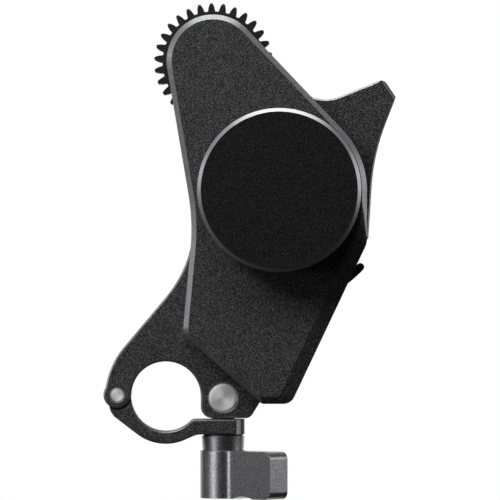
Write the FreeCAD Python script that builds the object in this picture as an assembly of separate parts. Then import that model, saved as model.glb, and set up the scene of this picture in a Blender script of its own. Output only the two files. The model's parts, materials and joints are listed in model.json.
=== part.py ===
"""Follow focus unit for 15 mm rods: gear housing, frame with rod clamp, knob and lens drive gear.

Millimetres. The origin is on the axis of the rod bore, halfway through the clamp. The rod runs along Y,
the knob faces -Y, and +Z is up. Shapes seen from the knob side are drawn in the X-Z plane.
"""
import FreeCAD, Part
import math
import os

from FreeCAD import Vector

RUN = 0.04
FACE_GAP = 0.05

# Rod clamp
ROD_BORE_R = 7.55
FRAME_DEPTH = 7.8
FRAME_EDGE = 0.35
HINGE_X, HINGE_Z = -10.54, 0.37
HINGE_PIN_R = 1.35
KNUCKLE_R = 2.95
KNUCKLE_GAP = 0.35
TONGUE_DEPTH = 2.7
STUD_X, TRUNNION_Z = 12.37, -0.32
TRUNNION_R = 3.0
STUD_R = 2.5
JAW_TOP_Z, JAW_BOTTOM_Z = -4.95, -8.23
JAW_END_R = 4.64
JAW_ARC_R = 10.25
THREAD_PITCH = 0.8
NUT_TURNS = 5
NUT_TRAVEL = NUT_TURNS * THREAD_PITCH
JAW_OPEN_DEG = math.degrees(NUT_TRAVEL / (STUD_X - HINGE_X))
WASHER_R, WASHER_T = 4.3, 0.38
SPACER_TOP_R, SPACER_END_R, SPACER_H = 4.62, 4.45, 3.07
NUT_HUB_R, NUT_H = 4.95, 10.3
NUT_THREAD_H = 4.4
PADDLE_LENGTH, PADDLE_T, PADDLE_TURN_DEG = 16.6, 5.5, 43.7
PADDLE_CORNER_R = 1.65
STOP_HEAD_R, STOP_HEAD_T = 3.1, 1.4

# Gear train, in line from the knob to the lens drive gear
MODULE = 0.8
PRESSURE_DEG = 20.0
BACKLASH = 0.12
KNOB_TEETH, IDLER_TEETH, PINION_TEETH, DRIVE_TEETH = 26, 18, 16, 30
DRIVE_X, DRIVE_Z = 10.28, 72.2
TRAIN_LEAN_DEG = 26.94
DRIVE_PHASE_DEG = 8.0
GEAR_W = 4.5
DRIVE_GEAR_W = 8.0
DRIVE_SHAFT_R = 2.5
KNOB_SHAFT_R = 3.0
IDLER_AXLE_R = 1.5

# Housing, front to back
HOUSING_DEPTH = 10.1
BEVEL_DEPTH = 1.1
BEVEL, BEVEL_LOWER, BEVEL_RIGHT, BEVEL_BOTTOM = 1.08, 0.85, 3.0, 1.5
HOUSING_TOP_R = 10.0
HOUSING_KNOB_R = 18.9
COVER_T = 2.0
POCKET_GAP = 0.7
COVER_LEDGE = 1.1
COVER_LEDGE_KNOB = 3.7

# Knob
KNOB_R = 17.45
KNOB_DEPTH = 11.8
KNOB_GAP = 1.0
KNOB_BEVEL = 0.75
KNOB_RIM_T, KNOB_LAND_T = 1.6, 1.2
KNOB_STEP, KNOB_BACK_BEVEL = 0.4, 0.5
KNOB_WALL, KNOB_WEB = 2.2, 3.2
GRIP_T, GRIP_SINK, GRIP_GROOVE = 1.2, 0.15, 0.45
GRIP_RIBS = 48
CAP_T = 0.6
KNOB_CAVITY_DEPTH = 6.5

# Damping mechanism behind the frame
BOSS_IN_R, BOSS_OUT_R, BOSS_H = 7.2, 9.0, 2.5
BRAKE_T, FRICTION_T, CLIP_T = 1.2, 0.5, 0.5
LEVER_CAP_R, LEVER_CAP_T, LEVER_CAP_GAP, LEVER_CAP_BEVEL = 11.0, 2.0, 0.35, 0.6
LEVER_REACH = 25.05
LEVER_ARM_W, LEVER_ARM_T, LEVER_ARM_GAP = 5.0, 2.5, 1.0
LEVER_REST_DEG, LEVER_SWING_DEG = -53.6, 45.0
LEVER_TAB_DEG, LEVER_TAB_T = 10.9, 1.7
STOP_PIN_R, STOP_PIN_PLACE_R, STOP_PIN_GAP = 1.0, 14.0, 0.1

# Fasteners
SCREW_PLAY, SCREW_HEAD_SINK = 0.1, 0.2
SCREW_RECESS_DEPTH = 0.6

FRAME_FRONT = -FRAME_DEPTH / 2
FRAME_BACK = FRAME_DEPTH / 2
HOUSING_FRONT = FRAME_FRONT - HOUSING_DEPTH
COVER_FRONT = FRAME_FRONT - COVER_T
FLANGE_T = 0.5
FLANGE_EXTRA = 1.3
BUSH_WALL = 1.0
GEAR_END_GAP = 0.1
BACK_WASHER_ROOM = 0.4
GEAR_FRONT = COVER_FRONT - BACK_WASHER_ROOM - GEAR_W
POCKET_FLOOR = GEAR_FRONT - GEAR_END_GAP - FLANGE_T
HOUSING_WALL = POCKET_FLOOR - HOUSING_FRONT
BLIND_SEAT, BLIND_ROOM = 1.6, 0.2
AXLE_INSET = 0.4
KNOB_BACK = HOUSING_FRONT - KNOB_GAP
KNOB_FRONT = KNOB_BACK - KNOB_DEPTH

lean = math.radians(TRAIN_LEAN_DEG)
IDLER_TO_DRIVE = MODULE * (IDLER_TEETH + PINION_TEETH) / 2
KNOB_TO_IDLER = MODULE * (KNOB_TEETH + IDLER_TEETH) / 2
IDLER_X = DRIVE_X + IDLER_TO_DRIVE * math.sin(lean)
IDLER_Z = DRIVE_Z - IDLER_TO_DRIVE * math.cos(lean)
KNOB_X = IDLER_X + KNOB_TO_IDLER * math.sin(lean)
KNOB_Z = IDLER_Z - KNOB_TO_IDLER * math.cos(lean)
TRAIN_DEG = 90 + TRAIN_LEAN_DEG


def polar(radius, degrees, x=0.0, z=0.0):
    """A point in the X-Z plane, at an angle from +X towards +Z."""
    angle = math.radians(degrees)
    return x + radius * math.cos(angle), z + radius * math.sin(angle)


def disc(radius, x, z, y0, y1):
    return Part.makeCylinder(radius, y1 - y0, Vector(x, y0, z), Vector(0, 1, 0))


def ring(outer, inner, x, z, y0, y1):
    return disc(outer, x, z, y0, y1).cut(disc(inner, x, z, y0 - 1, y1 + 1))


def cone(r0, r1, x, z, y0, y1):
    return Part.makeCone(r0, r1, y1 - y0, Vector(x, y0, z), Vector(0, 1, 0))


def upright(radius, x, z0, z1):
    """A cylinder along Z on the clamp's middle plane."""
    return Part.makeCylinder(radius, z1 - z0, Vector(x, 0, z0))


def block(x0, x1, y0, y1, z0, z1):
    return Part.makeBox(x1 - x0, y1 - y0, z1 - z0, Vector(x0, y0, z0))


def outline(corners, y):
    """A closed wire through corners (x, z, radius), each corner rounded to its radius."""
    count = len(corners)
    starts, mids, ends = [], [], []
    for i, (x, z, radius) in enumerate(corners):
        here = Vector(x, y, z)
        before = Vector(corners[i - 1][0], y, corners[i - 1][1]) - here
        after_corner = corners[(i + 1) % count]
        after = Vector(after_corner[0], y, after_corner[1]) - here
        before.normalize()
        after.normalize()
        half = before.getAngle(after) / 2
        reach = radius / math.tan(half)
        middle = before + after
        middle.normalize()
        starts.append(here + before * reach)
        ends.append(here + after * reach)
        mids.append(here + middle * (radius / math.sin(half) - radius))
    edges = []
    for i in range(count):
        if corners[i][2] > 0:
            edges.append(Part.Arc(starts[i], mids[i], ends[i]).toShape())
        edges.append(Part.LineSegment(ends[i], starts[(i + 1) % count]).toShape())
    return Part.Wire(edges)


def plate(wire, depth):
    return Part.Face(wire).extrude(Vector(0, depth, 0))


def meet(line_a, line_b):
    """Where two lines cross; each is (x, z, degrees)."""
    (xa, za, da), (xb, zb, db) = line_a, line_b
    ca, sa = math.cos(math.radians(da)), math.sin(math.radians(da))
    cb, sb = math.cos(math.radians(db)), math.sin(math.radians(db))
    t = ((xb - xa) * sb - (zb - za) * cb) / (ca * sb - sa * cb)
    return xa + t * ca, za + t * sa


def inset_corners(corners, inset):
    """The same clockwise outline with every side moved inwards and its corner radii to suit."""
    sides = []
    for i, (x, z, _) in enumerate(corners):
        next_x, next_z, _ = corners[(i + 1) % len(corners)]
        heading = math.degrees(math.atan2(next_z - z, next_x - x))
        sides.append(polar(inset, heading - 90, x, z) + (heading,))
    moved = []
    for i, (_, _, radius) in enumerate(corners):
        before, after = sides[i - 1], sides[i]
        turns_right = math.sin(math.radians(after[2] - before[2])) < 0
        if radius > 0:
            radius += -inset if turns_right else inset
        moved.append(meet(before, after) + (radius,))
    return moved


def bevelled_plate(corners, y0, y1, edge):
    """A plate along Y with the same small bevel round both of its faces."""
    small = inset_corners(corners, edge)
    slab = plate(outline(corners, y0 + edge), y1 - y0 - 2 * edge)
    front = Part.makeLoft([outline(small, y0), outline(corners, y0 + edge)], True, True)
    back = Part.makeLoft([outline(corners, y1 - edge), outline(small, y1)], True, True)
    return slab.multiFuse([front, back])


def tangent_line(r_top, r_knob, side):
    """The line that touches a circle round the drive axis and one round the knob axis."""
    centres = math.hypot(KNOB_X - DRIVE_X, KNOB_Z - DRIVE_Z)
    flare = math.degrees(math.asin((r_knob - r_top) / centres))
    direction = TRAIN_DEG - 180 + side * flare
    x, z = polar(r_top, direction + side * 90, DRIVE_X, DRIVE_Z)
    return x, z, direction


def train_hull(r_top, r_knob, y0, y1):
    """A rounded slab that holds the circle at the drive axis, the one at the knob and what is between."""
    right = tangent_line(r_top, r_knob, 1)
    left = tangent_line(r_top, r_knob, -1)
    side = math.hypot(KNOB_X - DRIVE_X, KNOB_Z - DRIVE_Z)
    run = math.sqrt(side * side - (r_knob - r_top) ** 2)
    points = [(right[0], right[1]), polar(run, right[2], right[0], right[1]),
              polar(run, left[2], left[0], left[1]), (left[0], left[1])]
    web = Part.makePolygon([Vector(x, y0, z) for x, z in points + points[:1]])
    slab = plate(web, y1 - y0)
    return slab.multiFuse([disc(r_top, DRIVE_X, DRIVE_Z, y0, y1),
                           disc(r_knob, KNOB_X, KNOB_Z, y0, y1)]).removeSplitter()


def gear_wire(teeth, phase_deg, x, z, y):
    """An involute spur gear's outline, one tooth centred at phase_deg."""
    pitch_r = MODULE * teeth / 2
    tip_r = pitch_r + MODULE
    root_r = pitch_r - 1.25 * MODULE
    base_r = pitch_r * math.cos(math.radians(PRESSURE_DEG))

    def involute(radius):
        roll = math.acos(min(1.0, base_r / radius))
        return math.tan(roll) - roll

    half_pitch = math.pi / teeth / 2 - BACKLASH / 4 / pitch_r + involute(pitch_r)
    low = max(base_r, root_r)
    radii = [low + (tip_r - low) * step / 4 for step in range(5)]
    flank = [(root_r, half_pitch - involute(low) + 0.012)]
    flank += [(radius, half_pitch - involute(radius)) for radius in radii]
    flank[-1] = (tip_r - 0.1 * MODULE, half_pitch - involute(tip_r - 0.1 * MODULE))
    flank.append((tip_r, half_pitch - involute(tip_r) - 0.08 * MODULE / tip_r))
    points = []
    for tooth in range(teeth):
        middle = math.radians(phase_deg) + 2 * math.pi * tooth / teeth
        turned = [(r, middle - a) for r, a in flank] + [(r, middle + a) for r, a in reversed(flank)]
        points += [Vector(x + r * math.cos(a), y, z + r * math.sin(a)) for r, a in turned]
    return Part.makePolygon(points + points[:1])


def gear(teeth, phase_deg, x, z, y0, width, bore_r):
    return plate(gear_wire(teeth, phase_deg, x, z, y0), width).cut(disc(bore_r, x, z, y0 - 1, y0 + width + 1))


def countersunk_screw(x, z, face_y, head_r, shank_r, length, toward):
    """A flat-head screw whose head is flush with face_y; toward is +1 or -1 along Y."""
    head = Part.makeCone(head_r, shank_r, head_r - shank_r, Vector(x, face_y, z), Vector(0, toward, 0))
    y0, y1 = sorted((face_y, face_y + toward * length))
    recess = disc(head_r / 3, x, z, face_y - SCREW_RECESS_DEPTH, face_y + SCREW_RECESS_DEPTH)
    return head.fuse(disc(shank_r, x, z, y0, y1)).cut(recess)


def cap_screw(x, z, head_y, head_r, head_h, shank_r, length, toward):
    """A socket screw; its head's seat is at head_y and its shank runs toward +1 or -1 along Y."""
    y0, y1 = sorted((head_y, head_y - toward * head_h))
    head = disc(head_r, x, z, y0, y1)
    y2, y3 = sorted((head_y, head_y + toward * length))
    socket_y = head_y - toward * head_h
    y4, y5 = sorted((socket_y - toward, socket_y + toward * head_h / 2))
    hexagon = [polar(head_r / 2, 60 * corner, x, z) for corner in range(7)]
    socket = plate(Part.makePolygon([Vector(px, y4, pz) for px, pz in hexagon]), y5 - y4)
    return head.fuse(disc(shank_r, x, z, y2, y3)).cut(socket)


# Rear frame: horn, body and the fixed half of the clamp

FRAME_SCREW_R, FRAME_SCREW_HEAD_R, FRAME_SCREW_HEAD_H = 1.5, 2.75, 3.0
FRAME_SCREWS = [(10.0, 33.0), (10.5, 15.5), (24.5, 5.5), (34.2, 24.0)]
FRAME_SCREW_GRIP = 6.0
FRAME_SCREW_SEAT = FRAME_BACK - FRAME_SCREW_HEAD_H - SCREW_HEAD_SINK
DOWEL_R, DOWEL_LENGTH = 1.0, 6.0
DOWELS = [(12.5, 26.5), (29.0, 15.0)]
BLOCK_BOTTOM_Z = -4.7

FRAME_CORNERS = [
    (6.0, 56.0, 1.5), (21.8, 60.5, 3.0), (27.5, 67.1, 1.0),
    (33.6, 63.17, 8.5), (47.1, 68.64, 1.55), (49.72, 64.71, 0.5),
    (44.96, 52.46, 45.0), (43.78, 34.2, 0.6), (40.3, 30.2, 2.0),
    (25.6, -1.0, 2.0), (20.5, -1.0, 1.2), (18.2, BLOCK_BOTTOM_Z, 1.8),
    (ROD_BORE_R, BLOCK_BOTTOM_Z, 2.5), (ROD_BORE_R, 0.0, 0.0),
    (-13.2, 0.0, 0.0), (-12.81, 6.19, 17.5), (6.0, 28.56, 26.0)]
HORN_TIP, HORN_POINT = FRAME_CORNERS[4], FRAME_CORNERS[5]
HORN_END_R = 1.8
HINGE_SINK, TRUNNION_SINK = 0.38, 0.3
TONGUE_PLAY = 0.1
STUD_SLOT_PLAY = 0.25
STOP_PIN_DEPTH = 2.5


def horn_rounding(face_y, inward):
    """What a rounding takes off the horn's end edge at one face; inward is +1 or -1 along Y."""
    run_x, run_z = HORN_POINT[0] - HORN_TIP[0], HORN_POINT[1] - HORN_TIP[1]
    length = 3 * math.hypot(run_x, run_z)
    y0, y1 = sorted((face_y - inward, face_y + inward * HORN_END_R))
    bar = block(-length, length, y0, y1, -HORN_END_R, 1.0)
    axis = Vector(-length - 1, face_y + inward * HORN_END_R, -HORN_END_R)
    bar = bar.cut(Part.makeCylinder(HORN_END_R, 2 * length + 2, axis, Vector(1, 0, 0)))
    bar.rotate(Vector(0, 0, 0), Vector(0, 1, 0), -math.degrees(math.atan2(run_z, run_x)))
    bar.translate(Vector(HORN_TIP[0], 0, HORN_TIP[1]))
    return bar


def rear_frame():
    body = bevelled_plate(FRAME_CORNERS, FRAME_FRONT, FRAME_BACK, FRAME_EDGE)
    knuckle = disc(KNUCKLE_R, HINGE_X, HINGE_Z, FRAME_FRONT, FRAME_BACK)
    knuckle = knuckle.makeChamfer(FRAME_EDGE, [e for e in knuckle.Edges if abs(e.BoundBox.YLength) < 1e-6])
    boss = ring(BOSS_OUT_R, BOSS_IN_R, KNOB_X, KNOB_Z, FRAME_BACK, FRAME_BACK + BOSS_H)
    body = body.multiFuse([knuckle, boss])
    cuts = [disc(ROD_BORE_R, 0, 0, FRAME_FRONT - 1, FRAME_BACK + 1)]
    cuts += [horn_rounding(FRAME_FRONT, 1), horn_rounding(FRAME_BACK, -1)]
    for y, r0, r1 in ((FRAME_FRONT, ROD_BORE_R + FRAME_EDGE, ROD_BORE_R),
                      (FRAME_BACK - FRAME_EDGE, ROD_BORE_R, ROD_BORE_R + FRAME_EDGE)):
        cuts.append(cone(r0, r1, 0, 0, y, y + FRAME_EDGE))
    half_gap = TONGUE_DEPTH / 2 + TONGUE_PLAY
    cuts.append(disc(KNUCKLE_R + KNUCKLE_GAP, HINGE_X, HINGE_Z, -half_gap, half_gap))
    cuts.append(disc(HINGE_PIN_R, HINGE_X, HINGE_Z, FRAME_FRONT - 1, FRAME_BACK + 1))
    cuts.append(cone(HINGE_PIN_R + HINGE_SINK, HINGE_PIN_R, HINGE_X, HINGE_Z, FRAME_FRONT,
                     FRAME_FRONT + HINGE_SINK))
    cuts.append(disc(TRUNNION_R + RUN, STUD_X, TRUNNION_Z, FRAME_FRONT - 1, FRAME_BACK + 1))
    cuts.append(cone(TRUNNION_R + TRUNNION_SINK, TRUNNION_R, STUD_X, TRUNNION_Z, FRAME_FRONT,
                     FRAME_FRONT + TRUNNION_SINK))
    swing = (TRUNNION_Z - BLOCK_BOTTOM_Z) * math.tan(math.radians(JAW_OPEN_DEG))
    half = STUD_R + STUD_SLOT_PLAY
    cuts.append(block(STUD_X - half - swing - STUD_SLOT_PLAY, STUD_X + half, -half, half,
                      BLOCK_BOTTOM_Z - 1, TRUNNION_Z))
    cuts.append(disc(KNOB_SHAFT_R + BUSH_WALL, KNOB_X, KNOB_Z, FRAME_FRONT - 1, FRAME_BACK + 1))
    for x, z in FRAME_SCREWS:
        cuts.append(disc(FRAME_SCREW_R + SCREW_PLAY, x, z, FRAME_FRONT - 1, FRAME_BACK + 1))
        cuts.append(disc(FRAME_SCREW_HEAD_R + SCREW_PLAY, x, z, FRAME_SCREW_SEAT, FRAME_BACK + 1))
    for x, z in DOWELS:
        cuts.append(disc(DOWEL_R, x, z, FRAME_FRONT - 1, FRAME_FRONT + DOWEL_LENGTH / 2))
    for x, z in stop_pin_places():
        cuts.append(disc(STOP_PIN_R, x, z, FRAME_BACK - STOP_PIN_DEPTH, FRAME_BACK + 1))
    return body.cut(cuts)


# Front housing, gearbox cover and their fasteners

# Each straight side's direction, in degrees from +X
LEFT_LEAN, WAIST_LEAN, TOE_LEAN, SLOPE_LEAN = -80.4, 84.7, -41.5, 64.7
SLOPE_REACH = 21.9
WAIST_X, WAIST_Z = 4.0, 16.6
TOE_X, TOE_Z = 12.8, 5.64
HOUSING_BOTTOM_Z = -1.4
WAIST_R = 45.0
# Corner radii at the outer edge and at the face
SHOULDER_ROUNDS, HEEL_ROUNDS, TOE_ROUNDS, SHIN_ROUNDS = (4.0, 19.0), (2.6, 2.0), (1.0, 1.0), (3.0, 2.2)


def housing_corners(front):
    """The housing's outline; front gives the face inside the bevel, otherwise the outer edge."""
    wide = BEVEL if front else 0.0
    slope_in = BEVEL_RIGHT if front else 0.0
    bottom_in = BEVEL_BOTTOM if front else 0.0
    toe_in = BEVEL_LOWER if front else 0.0
    level = 1 if front else 0
    left = polar(HOUSING_TOP_R - wide, LEFT_LEAN - 90, DRIVE_X, DRIVE_Z) + (LEFT_LEAN,)
    right_top = tangent_line(HOUSING_TOP_R - wide, HOUSING_KNOB_R - wide, 1)
    right = (KNOB_X + HOUSING_KNOB_R - wide, KNOB_Z, 90.0)
    slope = polar(SLOPE_REACH - slope_in, SLOPE_LEAN - 90, KNOB_X, KNOB_Z) + (SLOPE_LEAN,)
    bottom = (KNOB_X, HOUSING_BOTTOM_Z + bottom_in, 0.0)
    toe = polar(toe_in, TOE_LEAN + 90, TOE_X, TOE_Z) + (TOE_LEAN,)
    waist = polar(wide, WAIST_LEAN - 90, WAIST_X, WAIST_Z) + (WAIST_LEAN,)
    return [meet(left, right_top) + (HOUSING_TOP_R - wide,),
            meet(right_top, right) + (HOUSING_KNOB_R - wide,),
            meet(right, slope) + (SHOULDER_ROUNDS[level],),
            meet(slope, bottom) + (HEEL_ROUNDS[level],),
            meet(bottom, toe) + (TOE_ROUNDS[level],),
            meet(toe, waist) + (SHIN_ROUNDS[level],),
            meet(waist, left) + (WAIST_R + wide,)]


COVER_SCREW_R, COVER_SCREW_HEAD_R = 0.9, 1.7
COVER_SCREW_LENGTH = 5.0
COVER_SCREW_BESIDE, COVER_SCREW_MARGIN, COVER_SCREW_TURN_DEG = 1.5, 0.2, 65
COVER_SHAFT_GAP = 1.2
THREAD_ROOM = 0.5
PINION_TIP_R = MODULE * (PINION_TEETH + 2) / 2
IDLER_TIP_R = MODULE * (IDLER_TEETH + 2) / 2
KNOB_GEAR_TIP_R = MODULE * (KNOB_TEETH + 2) / 2
COVER_TOP_R = PINION_TIP_R + POCKET_GAP + COVER_LEDGE
COVER_KNOB_R = KNOB_GEAR_TIP_R + POCKET_GAP + COVER_LEDGE_KNOB


def cover_screw_places():
    """Two screws beside the idler and three round the knob's end of the cover."""
    beside = IDLER_TIP_R + POCKET_GAP + COVER_SCREW_BESIDE
    places = [polar(beside, TRAIN_DEG + side * 90, IDLER_X, IDLER_Z) for side in (-1, 1)]
    round_knob = COVER_KNOB_R - COVER_SCREW_HEAD_R - COVER_SCREW_MARGIN
    places += [polar(round_knob, TRAIN_DEG + 180 + side * COVER_SCREW_TURN_DEG, KNOB_X, KNOB_Z)
               for side in (-1, 0, 1)]
    return places


def front_housing():
    edge_y = HOUSING_FRONT + BEVEL_DEPTH
    body = plate(outline(housing_corners(False), edge_y), FRAME_FRONT - edge_y)
    face = Part.makeLoft([outline(housing_corners(False), edge_y), outline(housing_corners(True), HOUSING_FRONT)],
                         True, True)
    body = body.fuse(face)
    cuts = [train_hull(COVER_TOP_R, COVER_KNOB_R, COVER_FRONT, FRAME_FRONT + 1)]
    for x, z, tip in ((DRIVE_X, DRIVE_Z, PINION_TIP_R), (IDLER_X, IDLER_Z, IDLER_TIP_R),
                      (KNOB_X, KNOB_Z, KNOB_GEAR_TIP_R)):
        cuts.append(disc(tip + POCKET_GAP, x, z, POCKET_FLOOR, FRAME_FRONT))
    cuts.append(disc(KNOB_SHAFT_R + BUSH_WALL, KNOB_X, KNOB_Z, HOUSING_FRONT - 1, POCKET_FLOOR + 1))
    cuts.append(disc(DRIVE_SHAFT_R + BUSH_WALL, DRIVE_X, DRIVE_Z, POCKET_FLOOR - BLIND_SEAT - BLIND_ROOM,
                     POCKET_FLOOR + 1))
    cuts.append(disc(IDLER_AXLE_R, IDLER_X, IDLER_Z, POCKET_FLOOR - BLIND_SEAT, POCKET_FLOOR + 1))
    for x, z in cover_screw_places():
        cuts.append(disc(COVER_SCREW_R, x, z, FRAME_FRONT - COVER_SCREW_LENGTH - THREAD_ROOM, FRAME_FRONT + 1))
    for x, z in FRAME_SCREWS:
        cuts.append(disc(FRAME_SCREW_R, x, z, FRAME_FRONT - FRAME_SCREW_GRIP - THREAD_ROOM, FRAME_FRONT + 1))
    for x, z in DOWELS:
        cuts.append(disc(DOWEL_R, x, z, FRAME_FRONT - DOWEL_LENGTH / 2, FRAME_FRONT + 1))
    return body.cut(cuts)


def gearbox_cover():
    cover = train_hull(COVER_TOP_R - FACE_GAP, COVER_KNOB_R - FACE_GAP, COVER_FRONT, FRAME_FRONT)
    cuts = [disc(KNOB_SHAFT_R + COVER_SHAFT_GAP, KNOB_X, KNOB_Z, COVER_FRONT - 1, FRAME_FRONT + 1),
            disc(DRIVE_SHAFT_R + BUSH_WALL, DRIVE_X, DRIVE_Z, COVER_FRONT - 1, FRAME_FRONT + 1),
            disc(IDLER_AXLE_R, IDLER_X, IDLER_Z, COVER_FRONT - 1, FRAME_FRONT - AXLE_INSET)]
    sink = COVER_SCREW_HEAD_R - COVER_SCREW_R
    for x, z in cover_screw_places():
        cuts.append(disc(COVER_SCREW_R, x, z, COVER_FRONT - 1, FRAME_FRONT + 1))
        cuts.append(cone(COVER_SCREW_R, COVER_SCREW_HEAD_R, x, z, FRAME_FRONT - sink, FRAME_FRONT))
    return cover.cut(cuts)


def cover_screws():
    return Part.makeCompound([countersunk_screw(x, z, FRAME_FRONT, COVER_SCREW_HEAD_R, COVER_SCREW_R,
                                                COVER_SCREW_LENGTH, -1) for x, z in cover_screw_places()])


def frame_screws():
    length = FRAME_SCREW_SEAT - FRAME_FRONT + FRAME_SCREW_GRIP
    return Part.makeCompound([cap_screw(x, z, FRAME_SCREW_SEAT, FRAME_SCREW_HEAD_R, FRAME_SCREW_HEAD_H,
                                        FRAME_SCREW_R, length, -1) for x, z in FRAME_SCREWS])


def dowel_pins():
    half = DOWEL_LENGTH / 2
    return Part.makeCompound([disc(DOWEL_R, x, z, FRAME_FRONT - half, FRAME_FRONT + half) for x, z in DOWELS])


# Gear train

def flanged_bush(bore_r, x, z, flange_y, toward, length):
    """A bronze bush; its flange's outer face is at flange_y and the sleeve runs toward +1 or -1."""
    y0, y1 = sorted((flange_y, flange_y + toward * FLANGE_T))
    y2, y3 = sorted((flange_y, flange_y + toward * length))
    bush = disc(bore_r + BUSH_WALL + FLANGE_EXTRA, x, z, y0, y1).fuse(disc(bore_r + BUSH_WALL, x, z, y2, y3))
    return bush.cut(disc(bore_r + RUN, x, z, min(y0, y2) - 1, max(y1, y3) + 1))


def knob_front_bush():
    return flanged_bush(KNOB_SHAFT_R, KNOB_X, KNOB_Z, POCKET_FLOOR + FLANGE_T, -1, FLANGE_T + HOUSING_WALL)


def knob_rear_bush():
    return ring(KNOB_SHAFT_R + BUSH_WALL, KNOB_SHAFT_R + RUN, KNOB_X, KNOB_Z, FRAME_FRONT, FRAME_BACK)


def drive_front_bush():
    length = FLANGE_T + BLIND_SEAT + BLIND_ROOM
    return flanged_bush(DRIVE_SHAFT_R, DRIVE_X, DRIVE_Z, POCKET_FLOOR + FLANGE_T, -1, length)


def drive_rear_bush():
    return flanged_bush(DRIVE_SHAFT_R, DRIVE_X, DRIVE_Z, FRAME_FRONT + FLANGE_T, -1, FLANGE_T + COVER_T)


GEAR_PIN_R = 0.75
KNOB_PIN_REACH, PINION_PIN_REACH = 8.0, 4.8
IDLER_WASHER_LIP = 1.0


def cross_pin(reach, x, z):
    """A pin through a gear's web and its shaft."""
    start = Vector(x - reach, GEAR_FRONT + GEAR_W / 2, z)
    return Part.makeCylinder(GEAR_PIN_R, 2 * reach, start, Vector(1, 0, 0))


def knob_gear():
    return gear(KNOB_TEETH, TRAIN_DEG, KNOB_X, KNOB_Z, GEAR_FRONT, GEAR_W, KNOB_SHAFT_R).cut(knob_gear_pin())


def knob_gear_pin():
    return cross_pin(KNOB_PIN_REACH, KNOB_X, KNOB_Z)


def idler_gear():
    gap_centred = TRAIN_DEG + 180 / IDLER_TEETH
    return gear(IDLER_TEETH, gap_centred, IDLER_X, IDLER_Z, GEAR_FRONT, GEAR_W, IDLER_AXLE_R + BUSH_WALL)


def idler_bush():
    return ring(IDLER_AXLE_R + BUSH_WALL, IDLER_AXLE_R + RUN, IDLER_X, IDLER_Z, GEAR_FRONT, GEAR_FRONT + GEAR_W)


def idler_axle():
    return disc(IDLER_AXLE_R, IDLER_X, IDLER_Z, POCKET_FLOOR - BLIND_SEAT, FRAME_FRONT - AXLE_INSET)


def idler_washers():
    outer = IDLER_AXLE_R + BUSH_WALL + IDLER_WASHER_LIP
    front = ring(outer, IDLER_AXLE_R, IDLER_X, IDLER_Z, POCKET_FLOOR, GEAR_FRONT - FACE_GAP)
    back = ring(outer, IDLER_AXLE_R, IDLER_X, IDLER_Z, GEAR_FRONT + GEAR_W + FACE_GAP, COVER_FRONT)
    return Part.makeCompound([front, back])


def output_pinion():
    return gear(PINION_TEETH, TRAIN_DEG, DRIVE_X, DRIVE_Z, GEAR_FRONT, GEAR_W, DRIVE_SHAFT_R).cut(pinion_pin())


def pinion_pin():
    return cross_pin(PINION_PIN_REACH, DRIVE_X, DRIVE_Z)


DRIVE_GEAR_Y = FRAME_FRONT + FLANGE_T + GEAR_END_GAP
DRIVE_TIP_R = MODULE * (DRIVE_TEETH + 2) / 2
TOOTH_BEVEL = 0.4
DRIVE_FLAT = 0.6
SHAFT_END_INSET = 0.2
DRIVE_RECESS_DEPTH = 1.2
DRIVE_RECESS_R = 9.6
DRIVE_SCREW_R, DRIVE_SCREW_HEAD_R, DRIVE_SCREW_HEAD_H = 1.5, 2.6, 1.7
DRIVE_SCREW_LENGTH = 5.5
DRIVE_WASHER_R, DRIVE_WASHER_T = 4.2, 0.6


def shaft_flat(y0, y1):
    """What the drive shaft's flat takes off its top, so that the gear can't turn on it."""
    return block(DRIVE_X - DRIVE_SHAFT_R, DRIVE_X + DRIVE_SHAFT_R, y0, y1,
                 DRIVE_Z + DRIVE_SHAFT_R - DRIVE_FLAT, DRIVE_Z + DRIVE_SHAFT_R + 1)


def drive_shaft():
    back = DRIVE_GEAR_Y + DRIVE_GEAR_W - DRIVE_RECESS_DEPTH - SHAFT_END_INSET
    shaft = disc(DRIVE_SHAFT_R, DRIVE_X, DRIVE_Z, POCKET_FLOOR - BLIND_SEAT, back)
    tapped = disc(DRIVE_SCREW_R, DRIVE_X, DRIVE_Z, back - DRIVE_SCREW_LENGTH, back + 1)
    return shaft.cut([shaft_flat(DRIVE_GEAR_Y, back + 1), tapped, pinion_pin()])


def drive_gear():
    """The lens drive gear, with bevelled tooth ends, a shallow recess at the back and a D bore."""
    back = DRIVE_GEAR_Y + DRIVE_GEAR_W
    blank = plate(gear_wire(DRIVE_TEETH, DRIVE_PHASE_DEG, DRIVE_X, DRIVE_Z, DRIVE_GEAR_Y), DRIVE_GEAR_W)
    over = DRIVE_TIP_R + TOOTH_BEVEL
    near = cone(DRIVE_TIP_R - TOOTH_BEVEL, over, DRIVE_X, DRIVE_Z, DRIVE_GEAR_Y, DRIVE_GEAR_Y + 2 * TOOTH_BEVEL)
    middle = disc(over, DRIVE_X, DRIVE_Z, DRIVE_GEAR_Y + 2 * TOOTH_BEVEL, back - 2 * TOOTH_BEVEL)
    far = cone(over, DRIVE_TIP_R - TOOTH_BEVEL, DRIVE_X, DRIVE_Z, back - 2 * TOOTH_BEVEL, back)
    blank = blank.common(near.multiFuse([middle, far]))
    recess = disc(DRIVE_RECESS_R, DRIVE_X, DRIVE_Z, back - DRIVE_RECESS_DEPTH, back + 1)
    bore = disc(DRIVE_SHAFT_R, DRIVE_X, DRIVE_Z, DRIVE_GEAR_Y - 1, back + 1)
    return blank.cut([recess, bore.cut(shaft_flat(DRIVE_GEAR_Y - 2, back + 2))])


def drive_gear_washer():
    seat = DRIVE_GEAR_Y + DRIVE_GEAR_W - DRIVE_RECESS_DEPTH
    return ring(DRIVE_WASHER_R, DRIVE_SCREW_R, DRIVE_X, DRIVE_Z, seat, seat + DRIVE_WASHER_T)


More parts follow.
